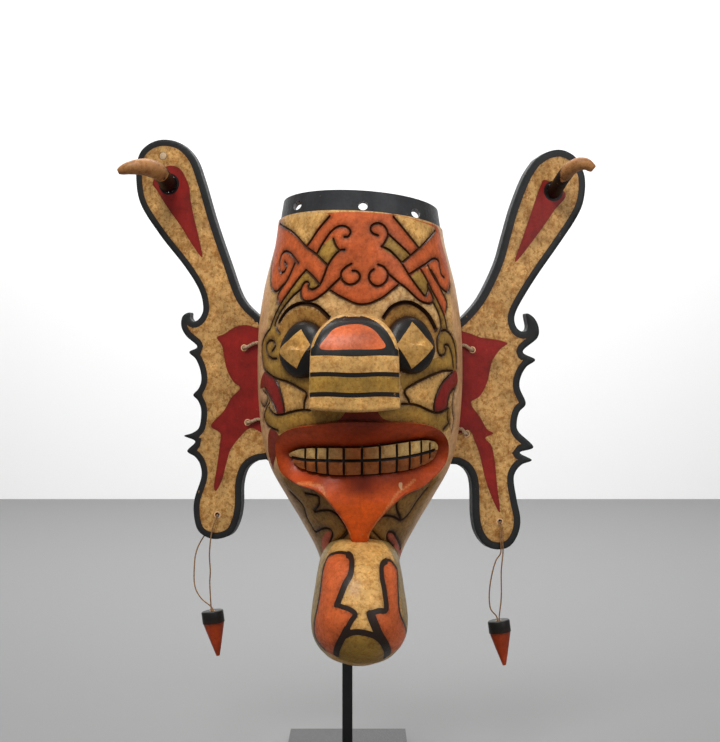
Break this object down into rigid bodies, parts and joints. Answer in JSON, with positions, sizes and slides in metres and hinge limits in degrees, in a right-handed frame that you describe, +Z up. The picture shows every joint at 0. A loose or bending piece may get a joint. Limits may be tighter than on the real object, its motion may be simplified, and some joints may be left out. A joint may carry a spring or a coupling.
{
  "type": "mask",
  "caption": "Carved and painted wooden spirit mask with square jutting nose, bared teeth, chin knob, board ears with tusks and hanging cones, on a black rod stand",
  "frame": {"origin": "centre of the underside of the stand's base", "axes": "+Z up, the mask looks along -Y, its left side as seen from the front is at -X"},
  "size_m": [0.465, 0.238, 0.6159],
  "materials": {
    "face_wood": "hand-carved wood with worn orange, olive, cream and black paint",
    "ear_wood": "sawn board with worn ochre, red and black paint",
    "tusk_wood": "smooth orange-brown with a blackened root",
    "plug_wood": "bare end grain",
    "pendant_wood": "red-orange paint with a black collar",
    "twine": "twisted brown twine",
    "lashing_fibre": "twisted pale plant fibre",
    "stand_black": "satin black paint"
  },
  "bodies": {
    "root": {"face": "face_wood", "ear_left": "ear_wood", "ear_right": "ear_wood", "tusk_left": "tusk_wood", "tusk_right": "tusk_wood", "ear_plug": "plug_wood", "pendant_left": "pendant_wood", "pendant_right": "pendant_wood", "pendant_twine_left": "twine", "pendant_twine_right": "twine", "lashing_upper_left": "lashing_fibre", "lashing_lower_left": "lashing_fibre", "lashing_upper_right": "lashing_fibre", "lashing_lower_right": "lashing_fibre", "stand_rod": "stand_black", "stand_base": "stand_black"}
  },
  "joints": []
}
